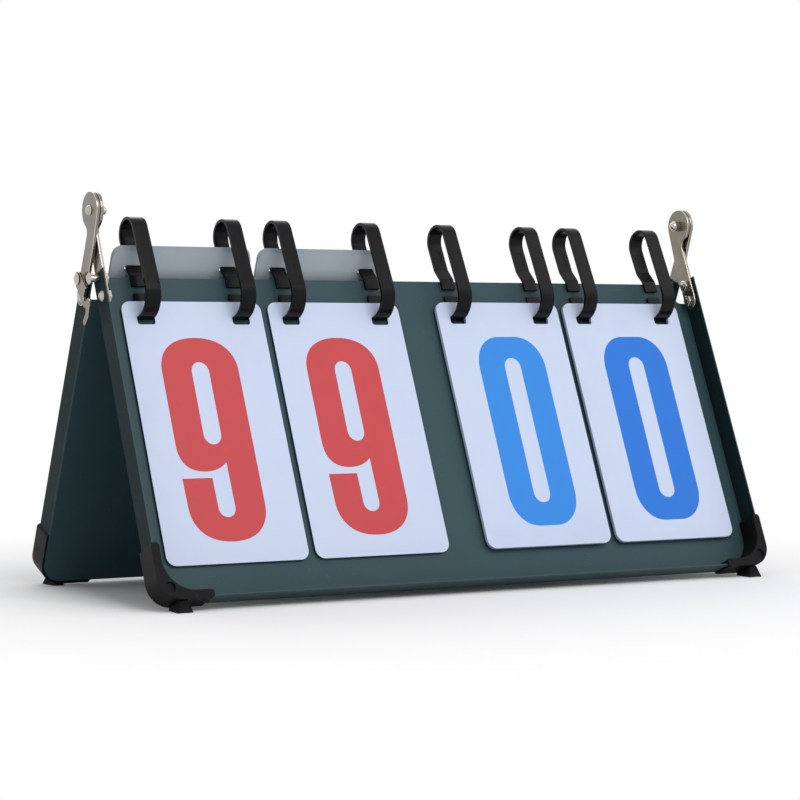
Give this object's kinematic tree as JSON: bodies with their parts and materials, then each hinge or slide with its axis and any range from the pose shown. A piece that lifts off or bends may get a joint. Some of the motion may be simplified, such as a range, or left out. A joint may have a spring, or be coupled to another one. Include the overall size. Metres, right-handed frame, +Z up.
{
  "type": "tabletop flip scoreboard",
  "caption": "Tabletop flip scoreboard: two hinged sheet trays standing as an A-frame, with numbered cards hung on curled rings to be turned over, and a side latch that holds it shut.",
  "frame": {"origin": "ground level under the middle of the A-frame, on the plane midway between the trays and midway between their sides", "axes": "+X to the right of the cards, -Y the way the cards face, +Z up"},
  "size_m": [0.481, 0.2118, 0.2599],
  "materials": {
    "tray_paint": "satin",
    "cap_plastic": "matte",
    "ring_plastic": "satin",
    "foot_rubber": "matte",
    "card_sheet": "smooth",
    "arm_nickel": "bright nickel plate",
    "fastener_steel": "bright"
  },
  "bodies": {
    "front_frame": {"front_tray": "tray_paint", "front_caps": "cap_plastic", "front_left_foot": "foot_rubber", "front_right_foot": "foot_rubber", "front_screws": "fastener_steel", "front_arms": "arm_nickel", "keeper_stud": "fastener_steel", "pivot_rivets": "fastener_steel", "left_rings": "ring_plastic", "right_rings": "ring_plastic", "right_tens_spare_cards": "card_sheet", "right_units_spare_cards": "card_sheet"},
    "rear_frame": {"rear_tray": "tray_paint", "rear_caps": "cap_plastic", "rear_left_foot": "foot_rubber", "rear_right_foot": "foot_rubber", "rear_screws": "fastener_steel", "rear_arms": "arm_nickel", "latch_rivet": "fastener_steel"},
    "latch": {"latch_lever": "arm_nickel"},
    "left_tens_front_card": {"left_tens_card": "card_sheet"},
    "left_units_front_card": {"left_units_card": "card_sheet"},
    "right_tens_front_card": {"right_tens_card": "card_sheet"},
    "right_units_front_card": {"right_units_card": "card_sheet"},
    "left_tens_turned_pack": {"left_tens_turned_cards": "card_sheet"},
    "left_units_turned_pack": {"left_units_turned_cards": "card_sheet"}
  },
  "joints": [
    {"name": "frame_fold", "type": "hinge", "parent": "front_frame", "child": "rear_frame", "pos_m": [0, 0, 0.24793], "axis": [1, 0, 0], "range_deg": [0, 313.15], "deforming": ["left_tens_turned_cards", "left_units_turned_cards"]},
    {"name": "left_tens_flip", "type": "hinge", "parent": "front_frame", "child": "left_tens_front_card", "pos_m": [-0.1695, -0.00837, 0.19359], "axis": [1, 0, 0], "range_deg": [-90, 0]},
    {"name": "left_units_flip", "type": "hinge", "parent": "front_frame", "child": "left_units_front_card", "pos_m": [-0.0645, -0.00837, 0.19359], "axis": [1, 0, 0], "range_deg": [-90, 0]},
    {"name": "right_tens_flip", "type": "hinge", "parent": "front_frame", "child": "right_tens_front_card", "pos_m": [0.0645, -0.01044, 0.19447], "axis": [1, 0, 0], "range_deg": [-90, 0]},
    {"name": "right_units_flip", "type": "hinge", "parent": "front_frame", "child": "right_units_front_card", "pos_m": [0.1695, -0.01044, 0.19447], "axis": [1, 0, 0], "range_deg": [-90, 0]},
    {"name": "left_tens_pack_flip", "type": "hinge", "parent": "front_frame", "child": "left_tens_turned_pack", "pos_m": [-0.1695, 0.00378, 0.2144], "axis": [-1, 0, 0], "range_deg": [-50, 0]},
    {"name": "left_units_pack_flip", "type": "hinge", "parent": "front_frame", "child": "left_units_turned_pack", "pos_m": [-0.0645, 0.00378, 0.2144], "axis": [-1, 0, 0], "range_deg": [-50, 0]},
    {"name": "latch_swing", "type": "hinge", "parent": "rear_frame", "child": "latch", "pos_m": [-0.2394, 0.00983, 0.2043], "axis": [1, 0, 0], "range_deg": [0, 205]}
  ]
}
